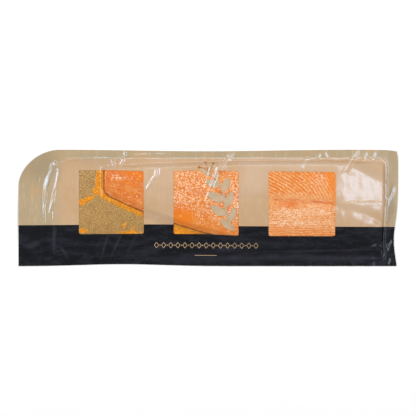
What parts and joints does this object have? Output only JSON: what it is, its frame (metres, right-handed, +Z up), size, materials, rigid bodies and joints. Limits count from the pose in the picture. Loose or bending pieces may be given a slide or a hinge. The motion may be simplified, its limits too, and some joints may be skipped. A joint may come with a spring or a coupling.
{
  "type": "hot smoked salmon fillet in a vacuum pouch",
  "caption": "Long flat vacuum pouch, lying face up, with square clear windows over a side of smoked salmon on a gold card.",
  "frame": {"origin": "centre of the pouch's footprint, on the surface that it rests on", "axes": "+X along the pouch from the tail end to the shoulder end, +Y across it from the belly side to the back side, +Z up out of the printed front"},
  "size_m": [0.62, 0.19, 0.0301],
  "materials": {
    "printed_film": "satin printed film, kraft beige above and black along the belly side",
    "clear_film": "glossy clear film over the windows",
    "gold_card": "embossed metallic gold card",
    "salmon_flesh": "moist orange flesh with pale specks",
    "fish_oil": "wet amber oil"
  },
  "bodies": {
    "root": {"sealed_pouch": "printed_film"}
  },
  "joints": []
}
